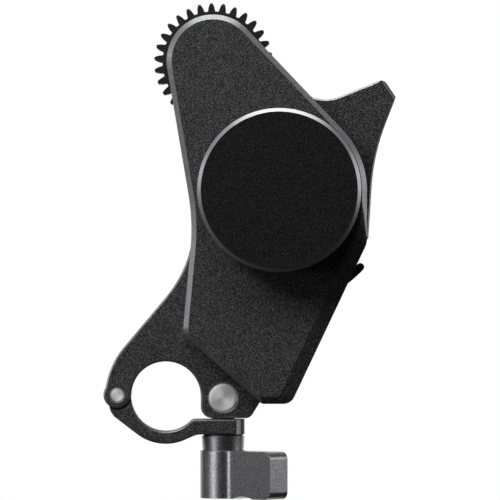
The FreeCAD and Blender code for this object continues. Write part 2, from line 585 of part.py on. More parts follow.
def drive_gear_screw():
    seat = DRIVE_GEAR_Y + DRIVE_GEAR_W - DRIVE_RECESS_DEPTH + DRIVE_WASHER_T
    return cap_screw(DRIVE_X, DRIVE_Z, seat, DRIVE_SCREW_HEAD_R, DRIVE_SCREW_HEAD_H, DRIVE_SCREW_R,
                     DRIVE_SCREW_LENGTH, -1)


# Knob and its shaft

KNOB_SCREW_R, KNOB_SCREW_HEAD_R = 1.5, 3.0
KNOB_SCREW_LENGTH = 8.5
FELT_R, FELT_PLAY = 9.0, 0.2
SHAFT_FRONT = KNOB_FRONT + KNOB_WEB
KNOB_HUB_R = 6.5
CLIP_GROOVE, CLIP_LIP, CLIP_MOUTH = 0.45, 1.0, 3.2
CLIP_Y = FRAME_BACK + FRICTION_T + BRAKE_T + 2 * FACE_GAP
SHAFT_END = 0.25
SHAFT_BACK = CLIP_Y + CLIP_T + SHAFT_END


def knob_profile():
    """Half section of the wheel, as (radius, y) from the hub's front round to its back."""
    cap_r = KNOB_R - KNOB_BEVEL
    grip_r = KNOB_R - GRIP_T
    rim_y = KNOB_FRONT + KNOB_RIM_T
    land_y = KNOB_BACK - KNOB_LAND_T
    land_r = KNOB_R - KNOB_STEP
    wall_r = grip_r - KNOB_WALL
    floor_y = KNOB_BACK - KNOB_CAVITY_DEPTH
    return [(0, KNOB_FRONT + CAP_T), (cap_r, KNOB_FRONT + CAP_T), (cap_r, KNOB_FRONT),
            (KNOB_R, KNOB_FRONT + KNOB_BEVEL), (KNOB_R, rim_y), (grip_r, rim_y), (grip_r, land_y),
            (land_r, land_y), (land_r, KNOB_BACK - KNOB_BACK_BEVEL), (land_r - KNOB_BACK_BEVEL, KNOB_BACK),
            (wall_r, KNOB_BACK), (wall_r, floor_y), (KNOB_HUB_R, floor_y), (KNOB_HUB_R, KNOB_BACK),
            (0, KNOB_BACK)]


def turned(profile, x, z):
    """A solid of revolution about the axis along Y at (x, z)."""
    points = [Vector(x + r, y, z) for r, y in profile]
    face = Part.Face(Part.makePolygon(points + points[:1]))
    return face.revolve(Vector(x, 0, z), Vector(0, 1, 0), 360)


def knob_wheel():
    wheel = turned(knob_profile(), KNOB_X, KNOB_Z)
    sink = KNOB_SCREW_HEAD_R - KNOB_SCREW_R
    top = KNOB_FRONT + CAP_T
    cuts = [disc(KNOB_SHAFT_R, KNOB_X, KNOB_Z, SHAFT_FRONT, KNOB_BACK + 1),
            disc(KNOB_SCREW_R, KNOB_X, KNOB_Z, KNOB_FRONT, KNOB_BACK),
            cone(KNOB_SCREW_HEAD_R, KNOB_SCREW_R, KNOB_X, KNOB_Z, top, top + sink)]
    return wheel.cut(cuts)


def knob_face_cap():
    return disc(KNOB_R - KNOB_BEVEL, KNOB_X, KNOB_Z, KNOB_FRONT, KNOB_FRONT + CAP_T)


def knob_grip_ring():
    """Rubber band round the wheel with shallow straight grooves."""
    inner = KNOB_R - GRIP_T
    outer = KNOB_R - GRIP_SINK
    floor = outer - GRIP_GROOVE
    y0 = KNOB_FRONT + KNOB_RIM_T
    y1 = KNOB_BACK - KNOB_LAND_T
    step = 360 / GRIP_RIBS
    points = []
    for rib in range(GRIP_RIBS):
        for turn, radius in ((0.0, outer), (0.55, outer), (0.68, floor), (0.87, floor)):
            points.append(polar(radius, step * (rib + turn), KNOB_X, KNOB_Z))
    wire = Part.makePolygon([Vector(x, y0, z) for x, z in points + points[:1]])
    return plate(wire, y1 - y0).cut(disc(inner, KNOB_X, KNOB_Z, y0 - 1, y1 + 1))


def knob_screw():
    return countersunk_screw(KNOB_X, KNOB_Z, KNOB_FRONT + CAP_T, KNOB_SCREW_HEAD_R, KNOB_SCREW_R,
                             KNOB_SCREW_LENGTH, 1)


def knob_felt_washer():
    return ring(FELT_R, KNOB_SHAFT_R + BUSH_WALL + FELT_PLAY, KNOB_X, KNOB_Z, KNOB_BACK + FACE_GAP, HOUSING_FRONT)


def knob_shaft():
    shaft = disc(KNOB_SHAFT_R, KNOB_X, KNOB_Z, SHAFT_FRONT, SHAFT_BACK)
    groove = ring(KNOB_SHAFT_R + 1, KNOB_SHAFT_R - CLIP_GROOVE, KNOB_X, KNOB_Z, CLIP_Y, CLIP_Y + CLIP_T)
    tapped = disc(KNOB_SCREW_R, KNOB_X, KNOB_Z, SHAFT_FRONT - 1, KNOB_FRONT + CAP_T + KNOB_SCREW_LENGTH)
    return shaft.cut([groove, tapped, knob_gear_pin()])


def shaft_clip():
    """A retaining clip in the shaft's groove, open on one side."""
    clip = ring(KNOB_SHAFT_R + CLIP_LIP, KNOB_SHAFT_R - CLIP_GROOVE, KNOB_X, KNOB_Z, CLIP_Y, CLIP_Y + CLIP_T)
    half = CLIP_MOUTH / 2
    return clip.cut(block(KNOB_X - half, KNOB_X + half, CLIP_Y - 1, CLIP_Y + CLIP_T + 1,
                          KNOB_Z, KNOB_Z + KNOB_SHAFT_R + CLIP_LIP + 1))


# Damping mechanism

FRICTION_SIDE_GAP, BRAKE_SIDE_GAP, SPRING_SIDE_GAP = 0.3, 0.4, 0.5
FRICTION_SHAFT_GAP = 0.6
SPRING_T, SPRING_SHAFT_GAP, SPRING_WAVES, SPRING_STEPS = 0.3, 1.3, 3, 24


def friction_washer():
    return ring(BOSS_IN_R - FRICTION_SIDE_GAP, KNOB_SHAFT_R + FRICTION_SHAFT_GAP, KNOB_X, KNOB_Z,
                FRAME_BACK, FRAME_BACK + FRICTION_T)


def brake_disc():
    y0 = FRAME_BACK + FRICTION_T + FACE_GAP
    return ring(BOSS_IN_R - BRAKE_SIDE_GAP, KNOB_SHAFT_R, KNOB_X, KNOB_Z, y0, y0 + BRAKE_T)


LEVER_CAP_FLOOR = FRAME_BACK + BOSS_H + LEVER_CAP_GAP
LEVER_CAP_BACK = LEVER_CAP_FLOOR + LEVER_CAP_T
LEVER_ARM_Y = FRAME_BACK + LEVER_ARM_GAP


def wave_spring():
    """A spring washer with three waves between the brake disc and the lever's cap."""
    low = CLIP_Y
    high = LEVER_CAP_FLOOR - FACE_GAP
    middle = (low + high - SPRING_T) / 2
    swing = (high - low - SPRING_T) / 2
    outer_r, inner_r = BOSS_IN_R - SPRING_SIDE_GAP, KNOB_SHAFT_R + SPRING_SHAFT_GAP
    sections = []
    for step in range(SPRING_STEPS + 1):
        angle = 360 * step / SPRING_STEPS
        y = middle + swing * math.sin(math.radians(SPRING_WAVES * angle))
        inner = polar(inner_r, angle, KNOB_X, KNOB_Z)
        outer = polar(outer_r, angle, KNOB_X, KNOB_Z)
        sections.append([Vector(inner[0], y, inner[1]), Vector(outer[0], y, outer[1]),
                         Vector(outer[0], y + SPRING_T, outer[1]), Vector(inner[0], y + SPRING_T, inner[1])])
    faces = []
    for first, second in zip(sections[:-1], sections[1:]):
        for side in range(4):
            a, b = first[side], first[(side + 1) % 4]
            c, d = second[(side + 1) % 4], second[side]
            for corner_points in ((a, b, c), (a, c, d)):
                faces.append(Part.Face(Part.makePolygon(list(corner_points) + [corner_points[0]])))
    return Part.Solid(Part.Shell(faces))


def damping_lever():
    """A cap that turns on the frame's boss, with an arm and a curved thumb tab."""
    cap = disc(LEVER_CAP_R, KNOB_X, KNOB_Z, LEVER_ARM_Y, LEVER_CAP_BACK)
    rim = [e for e in cap.Edges if abs(e.BoundBox.YMin - LEVER_CAP_BACK) < 1e-6]
    cap = cap.makeChamfer(LEVER_CAP_BEVEL, rim)
    half = LEVER_ARM_W / 2
    inside = LEVER_REACH - LEVER_TAB_T
    arm_box = block(0, inside + LEVER_TAB_T / 2, LEVER_ARM_Y, LEVER_ARM_Y + LEVER_ARM_T, -half, half)
    arm_box.translate(Vector(KNOB_X, 0, KNOB_Z))
    arm_box.rotate(Vector(KNOB_X, 0, KNOB_Z), Vector(0, 1, 0), -LEVER_REST_DEG)
    start, end = LEVER_REST_DEG - LEVER_TAB_DEG, LEVER_REST_DEG + LEVER_TAB_DEG
    y = LEVER_ARM_Y

    def at(radius, degrees):
        px, pz = polar(radius, degrees, KNOB_X, KNOB_Z)
        return Vector(px, y, pz)

    tip_turn = math.degrees(LEVER_TAB_T / 2 / LEVER_REACH)
    tab = Part.Wire([
        Part.Arc(at(inside, start), at(inside, LEVER_REST_DEG), at(inside, end)).toShape(),
        Part.Arc(at(inside, end), at(LEVER_REACH - LEVER_TAB_T / 2, end + tip_turn), at(LEVER_REACH, end)).toShape(),
        Part.Arc(at(LEVER_REACH, end), at(LEVER_REACH, LEVER_REST_DEG), at(LEVER_REACH, start)).toShape(),
        Part.Arc(at(LEVER_REACH, start), at(LEVER_REACH - LEVER_TAB_T / 2, start - tip_turn),
                 at(inside, start)).toShape()])
    lever = cap.multiFuse([arm_box, plate(tab, LEVER_ARM_T)])
    return lever.cut([disc(BOSS_OUT_R + RUN, KNOB_X, KNOB_Z, LEVER_ARM_Y - 1, LEVER_CAP_FLOOR)])


def stop_pin_places():
    """Beside the lever's arm at each end of its swing."""
    turn = math.degrees(math.asin((LEVER_ARM_W / 2 + STOP_PIN_R + STOP_PIN_GAP) / STOP_PIN_PLACE_R))
    return [polar(STOP_PIN_PLACE_R, LEVER_REST_DEG - turn, KNOB_X, KNOB_Z),
            polar(STOP_PIN_PLACE_R, LEVER_REST_DEG + LEVER_SWING_DEG + turn, KNOB_X, KNOB_Z)]


def lever_stop_pins():
    back = LEVER_ARM_Y + LEVER_ARM_T
    return Part.makeCompound([disc(STOP_PIN_R, x, z, FRAME_BACK - STOP_PIN_DEPTH, back)
                              for x, z in stop_pin_places()])


# Clamp

HINGE_PIN_INSET = 0.1
PIN_BEVEL = 0.25
# The jaw's left end, and the heel where its arm meets its flat end
JAW_LEFT_X, JAW_CROWN_Z = -13.2, 0.6
JAW_CHIN_X, JAW_CHIN_Z, JAW_CHIN_DEG = -11.95, -3.2, 60.0
JAW_CHIN_DROP = 1.2
JAW_RISE_DEG, JAW_FALL_DEG = 24.0, -37.5
JAW_HEEL_X, JAW_HEEL_RUN, JAW_HEEL_DROP = 5.9, 1.6, 0.95
JAW_CHIN_R, JAW_ELBOW_R, JAW_HEEL_R = 1.0, 4.0, 1.0
JAW_SPLIT_DROP = 0.9
TONGUE_TRIM = 0.05
JAW_SLOT_PLAY, JAW_SLOT_IN = 0.15, 1.0
# Limits of the cutting blocks, well outside the jaw
CUT_LOW_Z, CUT_HIGH_Z, CUT_LEFT_X, CUT_HALF_Y = -60.0, 5.0, -20.0, 5.0


def hinge_pin():
    return disc(HINGE_PIN_R, HINGE_X, HINGE_Z, FRAME_FRONT + HINGE_PIN_INSET, FRAME_BACK - HINGE_PIN_INSET)


def jaw_corners():
    arc_turn = (JAW_RISE_DEG - JAW_FALL_DEG) / 2
    arc_corner = polar(JAW_ARC_R / math.cos(math.radians(arc_turn)), -90 + (JAW_RISE_DEG + JAW_FALL_DEG) / 2)
    falling = polar(JAW_ARC_R, JAW_FALL_DEG - 90) + (JAW_FALL_DEG,)
    rising = polar(JAW_ARC_R, JAW_RISE_DEG - 90) + (JAW_RISE_DEG,)
    chin_x = JAW_CHIN_X + JAW_CHIN_DROP / math.tan(math.radians(JAW_CHIN_DEG))
    chin = meet(falling, (chin_x, JAW_CHIN_Z - JAW_CHIN_DROP, JAW_CHIN_DEG))
    end_x = STUD_X + JAW_END_R
    return [(JAW_LEFT_X, JAW_CROWN_Z, 0.0), (JAW_CHIN_X, JAW_CHIN_Z, 0.0), chin + (JAW_CHIN_R,),
            arc_corner + (JAW_ARC_R,), meet(rising, (0.0, JAW_BOTTOM_Z, 0.0)) + (JAW_ELBOW_R,),
            (end_x, JAW_BOTTOM_Z, 0.0), (end_x, JAW_TOP_Z, 0.0), (JAW_HEEL_X, JAW_TOP_Z, JAW_HEEL_R),
            (JAW_HEEL_X - JAW_HEEL_RUN, JAW_TOP_Z - JAW_HEEL_DROP, 0.0), (0.0, JAW_CROWN_Z, 0.0)]


def clamp_jaw():
    """The swinging half of the clamp: knuckle tongue, curved arm and a flat end with the stud's slot."""
    jaw = bevelled_plate(jaw_corners()[::-1], FRAME_FRONT, FRAME_BACK, FRAME_EDGE)
    plan = block(CUT_LEFT_X, STUD_X, -CUT_HALF_Y, CUT_HALF_Y, CUT_LOW_Z, CUT_HIGH_Z)
    jaw = jaw.common(plan.fuse(upright(JAW_END_R, STUD_X, CUT_LOW_Z, CUT_HIGH_Z)))
    relief_r = KNUCKLE_R + KNUCKLE_GAP
    half_tongue = TONGUE_DEPTH / 2
    sides = [(FRAME_FRONT - 1, -half_tongue), (half_tongue, FRAME_BACK + 1)]
    cuts = [disc(ROD_BORE_R, 0, 0, FRAME_FRONT - 1, FRAME_BACK + 1)]
    cuts += [disc(relief_r, HINGE_X, HINGE_Z, y0, y1) for y0, y1 in sides]
    cuts += [block(CUT_LEFT_X, KNUCKLE_R, y0, y1, HINGE_Z - JAW_SPLIT_DROP, CUT_HIGH_Z) for y0, y1 in sides]
    cuts.append(block(CUT_LEFT_X, KNUCKLE_R, -half_tongue, half_tongue, HINGE_Z, CUT_HIGH_Z))
    for y, r0, r1 in ((FRAME_FRONT, ROD_BORE_R + FRAME_EDGE, ROD_BORE_R),
                      (FRAME_BACK - FRAME_EDGE, ROD_BORE_R, ROD_BORE_R + FRAME_EDGE)):
        cuts.append(cone(r0, r1, 0, 0, y, y + FRAME_EDGE))
    jaw = jaw.cut(cuts)
    tongue = disc(KNUCKLE_R - TONGUE_TRIM, HINGE_X, HINGE_Z, -half_tongue, half_tongue)
    half_slot = STUD_R + JAW_SLOT_PLAY
    slot = [upright(half_slot, STUD_X, CUT_LOW_Z, CUT_HIGH_Z),
            upright(half_slot, STUD_X - JAW_SLOT_IN, CUT_LOW_Z, CUT_HIGH_Z),
            block(STUD_X - JAW_SLOT_IN, STUD_X, -half_slot, half_slot, CUT_LOW_Z, CUT_HIGH_Z)]
    jaw = jaw.fuse(tongue)
    return jaw.cut([disc(HINGE_PIN_R + RUN, HINGE_X, HINGE_Z, FRAME_FRONT, FRAME_BACK)] + slot)


def trunnion_pin():
    pin = disc(TRUNNION_R, STUD_X, TRUNNION_Z, FRAME_FRONT, FRAME_BACK)
    pin = pin.makeChamfer(PIN_BEVEL, [e for e in pin.Edges if abs(e.BoundBox.YLength) < 1e-6])
    return pin.cut(upright(STUD_R, STUD_X, CUT_LOW_Z, STUD_TOP))


STUD_TOP = TRUNNION_Z + TRUNNION_R / 2
WASHER_GAP = 0.02
WASHER_TOP = JAW_BOTTOM_Z - WASHER_GAP
SPACER_TOP = WASHER_TOP - WASHER_T
NUT_TOP = SPACER_TOP - SPACER_H - FACE_GAP
NUT_BOTTOM = NUT_TOP - NUT_H
STUD_END = NUT_TOP - NUT_THREAD_H - NUT_TRAVEL - FACE_GAP
STOP_SCREW_R, STOP_SCREW_LENGTH = 1.25, 4.0
STOP_SOCKET_R, STOP_SOCKET_FLOOR = 1.0, 0.5
STOP_HEAD_PLAY = 0.3


def clamp_stud():
    stud = upright(STUD_R, STUD_X, STUD_END, STUD_TOP)
    return stud.cut(upright(STOP_SCREW_R, STUD_X, STUD_END - 1, STUD_END + STOP_SCREW_LENGTH + THREAD_ROOM))


def stud_stop_screw():
    head = upright(STOP_HEAD_R, STUD_X, STUD_END - STOP_HEAD_T, STUD_END)
    shank = upright(STOP_SCREW_R, STUD_X, STUD_END - STOP_SOCKET_FLOOR, STUD_END + STOP_SCREW_LENGTH)
    socket = upright(STOP_SOCKET_R, STUD_X, STUD_END - STOP_HEAD_T - 1, STUD_END - STOP_SOCKET_FLOOR)
    return head.fuse(shank).cut(socket)


def clamp_washer():
    washer = upright(WASHER_R, STUD_X, SPACER_TOP, WASHER_TOP)
    return washer.cut(upright(STUD_R + RUN, STUD_X, CUT_LOW_Z, CUT_HIGH_Z))


def clamp_spacer():
    bottom = SPACER_TOP - SPACER_H
    body = Part.makeCone(SPACER_END_R, SPACER_TOP_R, SPACER_H, Vector(STUD_X, 0, bottom))
    return body.cut(upright(STUD_R + RUN, STUD_X, CUT_LOW_Z, CUT_HIGH_Z))


SCALLOP_R, SCALLOP_DEPTH, SCALLOP_PLACE = 7.0, 0.6, 8.4
PADDLE_CREASE_R = 2.0


def thumb_nut():
    """A round hub with one thick paddle, which points half towards the knob's side at rest."""
    hub = upright(NUT_HUB_R, STUD_X, NUT_BOTTOM, NUT_TOP)
    half = PADDLE_T / 2
    paddle = block(0, PADDLE_LENGTH, -half, half, NUT_BOTTOM, NUT_TOP)
    far = [e for e in paddle.Edges if abs(e.BoundBox.XMin - PADDLE_LENGTH) < 1e-6 and e.BoundBox.YLength > 1]
    paddle = paddle.makeFillet(PADDLE_CORNER_R, far)
    paddle.translate(Vector(STUD_X, 0, 0))
    scallop_start = Vector(STUD_X + SCALLOP_PLACE, -PADDLE_T, NUT_BOTTOM - SCALLOP_R + SCALLOP_DEPTH)
    scallop = Part.makeCylinder(SCALLOP_R, 2 * PADDLE_T, scallop_start, Vector(0, 1, 0))
    nut = hub.fuse(paddle)
    crease = [e for e in nut.Edges if e.BoundBox.ZLength > NUT_H - 0.1
              and abs(abs(e.CenterOfMass.y) - half) < 0.01 and e.CenterOfMass.x < STUD_X + NUT_HUB_R]
    nut = nut.makeFillet(PADDLE_CREASE_R, crease).cut(scallop)
    nut.rotate(Vector(STUD_X, 0, 0), Vector(0, 0, 1), -PADDLE_TURN_DEG)
    thread = upright(STUD_R + RUN, STUD_X, NUT_BOTTOM - 1, NUT_TOP + 1)
    recess = upright(STOP_HEAD_R + STOP_HEAD_PLAY, STUD_X, NUT_BOTTOM - 1, NUT_TOP - NUT_THREAD_H)
    return nut.cut([thread, recess])


PIECES = {
    "rear_frame": rear_frame, "front_housing": front_housing, "gearbox_cover": gearbox_cover,
    "cover_screws": cover_screws, "frame_screws": frame_screws, "dowel_pins": dowel_pins,
    "knob_wheel": knob_wheel, "knob_grip_ring": knob_grip_ring, "knob_face_cap": knob_face_cap,
    "knob_screw": knob_screw, "knob_felt_washer": knob_felt_washer, "knob_shaft": knob_shaft,
    "knob_gear": knob_gear, "knob_gear_pin": knob_gear_pin, "idler_gear": idler_gear,
    "idler_bush": idler_bush, "idler_axle": idler_axle, "idler_washers": idler_washers,
    "output_pinion": output_pinion, "pinion_pin": pinion_pin, "drive_shaft": drive_shaft,
    "drive_gear": drive_gear, "drive_gear_washer": drive_gear_washer, "drive_gear_screw": drive_gear_screw,
    "knob_front_bush": knob_front_bush, "knob_rear_bush": knob_rear_bush,
    "drive_front_bush": drive_front_bush, "drive_rear_bush": drive_rear_bush,
    "friction_washer": friction_washer, "brake_disc": brake_disc, "shaft_clip": shaft_clip,
    "wave_spring": wave_spring, "damping_lever": damping_lever, "lever_stop_pins": lever_stop_pins,
    "hinge_pin": hinge_pin, "clamp_jaw": clamp_jaw, "trunnion_pin": trunnion_pin,
    "clamp_stud": clamp_stud, "stud_stop_screw": stud_stop_screw, "clamp_washer": clamp_washer,
    "clamp_spacer": clamp_spacer, "thumb_nut": thumb_nut}


def main():
    os.makedirs("parts", exist_ok=True)
    for name, make in PIECES.items():
        make().exportStep(f"parts/{name}.step")


main()
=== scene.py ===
"""Finishes, camera and studio light for the follow focus unit.

Metres, in the CAD frame: the origin is on the rod bore's axis, +Y runs along the rod away from the knob and
+Z is up. The housing, frame and jaw are black anodised aluminium whose narrow bevels are painted lighter, a
painted highlight along the edges, and the pins are steel.
"""

import json
import math

import bmesh
import bpy
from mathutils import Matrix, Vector

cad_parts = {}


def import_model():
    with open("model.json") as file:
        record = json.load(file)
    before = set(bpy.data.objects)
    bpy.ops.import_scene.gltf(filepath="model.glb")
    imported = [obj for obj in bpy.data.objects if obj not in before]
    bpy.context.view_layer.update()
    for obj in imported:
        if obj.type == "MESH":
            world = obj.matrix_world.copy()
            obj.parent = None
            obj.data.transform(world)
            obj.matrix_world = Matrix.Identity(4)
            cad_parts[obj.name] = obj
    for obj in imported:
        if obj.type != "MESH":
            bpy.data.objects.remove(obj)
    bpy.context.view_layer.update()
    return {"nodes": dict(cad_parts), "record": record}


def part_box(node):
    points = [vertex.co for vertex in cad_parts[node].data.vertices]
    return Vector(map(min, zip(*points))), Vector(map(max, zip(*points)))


MM = 0.001

# The photograph's view: far off, square to the housing
VIEW_X, VIEW_Z = 18.19 * MM, 31.64 * MM
VIEW_DISTANCE = 1404 * MM
CLAMP_FRONT_Y = -3.9 * MM
SENSOR_MM = 36.0
FRAME_WIDTH = 108 * MM
VIEW_END = 20

FLOOR_Z = -60 * MM
FLOOR_SIZE = 1.8

# Each lamp's name, place, width, height and power in watts
LAMPS = [
    ("overhead_strip", (VIEW_X, -0.02, 0.75), 0.8, 0.15, 2.4),
    ("top_key", (-0.08, -0.75, 0.85), 0.45, 0.3, 3.3),
    ("left_key", (-0.5, -0.72, 0.55), 0.35, 0.35, 6.2),
    ("right_softbox", (0.8, -0.02, 0.16), 0.4, 0.38, 0.8),
    ("left_softbox", (-0.8, -0.02, 0.22), 0.3, 0.25, 0.45),
    ("front_left_strip", (-0.75, -0.63, VIEW_Z), 0.45, 0.25, 1.5)]

# The room that metal reflects: a white backdrop, and walls that are darker in front of the object and low down
BACKDROP_LIGHT = 1.0
WALL_LOW_LIGHT, WALL_TOP_LIGHT = 0.01, 0.14
FRONT_SHARE = 0.1
# Where each fades into the next, as parts of a direction's Y, Y and Z
BACKDROP_FADE, FRONT_FADE, LOW_FADE = (0.5, 0.85), (-0.7, -0.2), (-0.4, 0.2)
# The light from all round on what isn't shiny
FILL_LIGHT = 0.02

# A wave texture's bands repeat every 2 pi / 20 of its own units
WAVE_LENGTH = 2 * math.pi / 20

# Broken edges on the metal
EDGE_ROUND = 0.12 * MM

# Blasting grit leaves pits of about 0.1 mm, which would hardly show, so the grains are drawn this wide instead
BLASTED_GRAIN, KNOB_GRAIN, SATIN_GRAIN = 0.12 * MM, 0.22 * MM, 0.2 * MM
# A lathe feed of about 0.1 mm, drawn coarser so that the circles show
TURNED_PITCH = 0.38 * MM

# How squarely a bevel looks forward, from 0 to 1: the narrow bevels, which are painted lighter as a painted
# highlight, and the knob's ring and pins' rims
BEVEL_LEAN = (0.55, 0.77)
RIM_LEAN = (0.6, 0.8)

# The finishes that are the same all over, by the record's slot: name, metallic, roughness, colour, specular
PLAIN_FINISHES = {
    # Moulded rubber: dull, and a little lighter than the metal round it
    "grip_rubber": ("moulded_rubber", 0.0, 0.75, "#1b1b1b", 0.3),
    # Machined acetal: black, with a soft waxy shine
    "black_gear_plastic": ("machined_acetal", 0.0, 0.5, "#141414", 0.35),
    # Ground steel: bright, with a soft even mirror
    "bright_steel": ("ground_steel", 1.0, 0.28, "#c8c8c6"),
    # Black oxide on steel: dark and slightly oily
    "black_steel": ("black_oxide_steel", 0.8, 0.35, "#2b2b2c"),
    # Rolled spring steel: a colder and greyer mirror
    "spring_steel": ("rolled_spring_steel", 1.0, 0.3, "#a6a7a9"),
    # Sintered bronze: a warm brown metal whose pores dull the shine
    "bronze": ("sintered_bronze", 1.0, 0.4, "#a9854c"),
    # Cast nylon: off-white and waxy
    "white_nylon": ("cast_nylon", 0.0, 0.5, "#e2e0d8"),
    # Pressed felt: black, with no shine
    "felt": ("pressed_felt", 0.0, 0.95, "#1c1c1c", 0.1),
    # Friction fibre: a dull brown board
    "friction_fibre": ("friction_fibre", 0.0, 0.85, "#4d3b2c", 0.3)}


def srgb(code):
    """A hex colour as linear red, green, blue and 1."""
    parts = [int(code[i:i + 2], 16) / 255 for i in (1, 3, 5)]
    return [c / 12.92 if c <= 0.04045 else ((c + 0.055) / 1.055) ** 2.4 for c in parts] + [1.0]


def add(tree, kind, settings=None, links=None):
    """A node with its settings, and each input's value or the socket that feeds it."""
    made = tree.nodes.new(kind)
    for name, value in (settings or {}).items():
        setattr(made, name, value)
    for socket, value in (links or {}).items():
        if isinstance(value, bpy.types.NodeSocket):
            tree.links.new(value, made.inputs[socket])
        else:
            made.inputs[socket].default_value = value
    return made


def finish_of(name, metallic, roughness, colour, specular=0.5):
    """A material with one shader, whose sockets hold what is the same all over and about the mean of the rest."""
    material = bpy.data.materials.new(name)
    material.use_nodes = True
    shader = material.node_tree.nodes["Principled BSDF"]
    shader.inputs["Metallic"].default_value = metallic
    shader.inputs["Roughness"].default_value = roughness
    shader.inputs["Base Color"].default_value = srgb(colour)
    shader.inputs["Specular IOR Level"].default_value = specular
    return material, material.node_tree, shader


def ramp(tree, value, low, high, start, end):
    """A value's fade from start to end while it goes from low to high."""
    return add(tree, "ShaderNodeMapRange", links={"Value": value, "From Min": low, "From Max": high,
                                                  "To Min": start, "To Max": end}).outputs["Result"]


def mix(tree, factor, value_0, value_1):
    """The mix of two plain values, each a number or a socket."""
    return add(tree, "ShaderNodeMix", links={"Factor": factor, 2: value_0, 3: value_1}).outputs[0]


def blend(tree, factor, dark, light):
    """The mix of two colours, each a hex code or a socket."""
    made = add(tree, "ShaderNodeMix", {"data_type": "RGBA"}, {"Factor": factor})
    for socket, value in ((6, dark), (7, light)):
        if isinstance(value, str):
            made.inputs[socket].default_value = srgb(value)
        else:
            tree.links.new(value, made.inputs[socket])
    return made.outputs[2]


def bevel_mask(tree, place, low, high):
    """1 on faces that lean between the front and the sides, as a 45 degree bevel does, and 0 elsewhere."""
    lean = add(tree, "ShaderNodeSeparateXYZ", links={0: place.outputs["Normal"]})
    size = add(tree, "ShaderNodeMath", {"operation": "ABSOLUTE"}, {0: lean.outputs["Y"]})
    return add(tree, "ShaderNodeMath", {"operation": "COMPARE"},
               {0: size.outputs[0], 1: (low + high) / 2, 2: (high - low) / 2}).outputs[0]


def fade(tree, shader, mask, **cuts):
    """Fades each named socket from the shader's own value to the given one, where the mask is 1."""
    for name, bevel_value in cuts.items():
        socket = shader.inputs[name]
        tree.links.new(ramp(tree, mask, 0.0, 1.0, socket.default_value, bevel_value), socket)


def grit(tree, place, size, low, high):
    """Bead-blasting's pits as a sparkle between 0 and 1."""
    pits = add(tree, "ShaderNodeTexNoise", links={"Vector": place.outputs["Object"], "Scale": 1 / size,
                                                  "Detail": 1.0, "Roughness": 0.6})
    return ramp(tree, pits.outputs["Fac"], low, high, 0.0, 1.0)


def pitted(tree, shader, sparkle, depth):
    """Lets the pits tilt the light as well, and rounds every edge, which then catches a thin line of light."""
    rounded = add(tree, "ShaderNodeBevel", {"samples": 4}, {"Radius": EDGE_ROUND})
    bump = add(tree, "ShaderNodeBump", links={"Height": sparkle, "Distance": depth, "Strength": 1.0,
                                              "Normal": rounded.outputs["Normal"]})
    tree.links.new(bump.outputs["Normal"], shader.inputs["Normal"])


def blasted_anodised():
    """Bead-blasted black anodised aluminium: a fine sparkle on the faces, and narrow bevels painted lighter, a
    painted highlight along the edges.
    """
    material, tree, shader = finish_of("blasted_anodised", metallic=0.6, roughness=0.5, colour="#2a2a2b")
    place = add(tree, "ShaderNodeTexCoord")
    sparkle = grit(tree, place, BLASTED_GRAIN, low=0.5, high=0.72)
    body = blend(tree, sparkle, "#1a1a1b", "#909092")
    # Painted highlight: the narrow bevels, and any round that leans the same way, are the same blasted anodising
    # as the faces, given this lighter colour and more metal so that they shine brighter
    bevel_value = blend(tree, sparkle, "#8c8c8e", "#d0d0d2")
    mask = bevel_mask(tree, place, *BEVEL_LEAN)
    tree.links.new(blend(tree, mask, body, bevel_value), shader.inputs["Base Color"])
    fade(tree, shader, mask, Metallic=0.85, Roughness=0.4)
    pitted(tree, shader, sparkle, depth=0.006 * MM)
    return material


def knob_anodised():
    """Fine matte black anodised aluminium: nearly no shine, but a bright-cut ring round the face."""
    material, tree, shader = finish_of("knob_anodised", metallic=0.3, roughness=0.6, colour="#0d0d0e",
                                       specular=0.2)
    place = add(tree, "ShaderNodeTexCoord")
    sparkle = grit(tree, place, KNOB_GRAIN, low=0.48, high=0.64)
    face = blend(tree, sparkle, "#030303", "#2e2e2f")
    mask = bevel_mask(tree, place, *RIM_LEAN)
    tree.links.new(blend(tree, mask, face, "#b0b0b2"), shader.inputs["Base Color"])
    fade(tree, shader, mask, Metallic=0.9, Roughness=0.4)
    return material


def satin_anodised():
    """Blasted graphite anodised aluminium: broad soft bands of light on its rounds, broken into grains."""
    material, tree, shader = finish_of("satin_anodised", metallic=0.95, roughness=0.3, colour="#6a6a6b")
    place = add(tree, "ShaderNodeTexCoord")
    sparkle = grit(tree, place, SATIN_GRAIN, low=0.4, high=0.66)
    tree.links.new(blend(tree, sparkle, "#767678", "#b4b4b6"), shader.inputs["Base Color"])
    pitted(tree, shader, sparkle, depth=0.008 * MM)
    return material


def turned_steel(name, centre):
    """Faced steel: the lathe tool's rings show as fine circles, and spread the light into bright sectors."""
    material, tree, shader = finish_of(name, metallic=1.0, roughness=0.52, colour="#d8d8d6")
    place = add(tree, "ShaderNodeTexCoord")
    centred = add(tree, "ShaderNodeMapping", links={"Vector": place.outputs["Object"],
                                                    "Location": [-c for c in centre]})
    rings = add(tree, "ShaderNodeTexWave", {"wave_type": "RINGS", "rings_direction": "Y"},
                {"Vector": centred.outputs["Vector"], "Scale": WAVE_LENGTH / TURNED_PITCH, "Distortion": 0.3})
    face = blend(tree, rings.outputs["Fac"], "#cfcfce", "#ffffff")
    mask = bevel_mask(tree, place, *RIM_LEAN)
    tree.links.new(blend(tree, mask, face, "#ffffff"), shader.inputs["Base Color"])
    # The rim is blurrier than the face, so that light gathers all round it
    fade(tree, shader, mask, Roughness=0.75)
    pitted(tree, shader, rings.outputs["Fac"], depth=0.035 * MM)
    return material


def node_centre(name):
    """The middle of a CAD node's box."""
    low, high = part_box(name)
    return (low + high) / 2


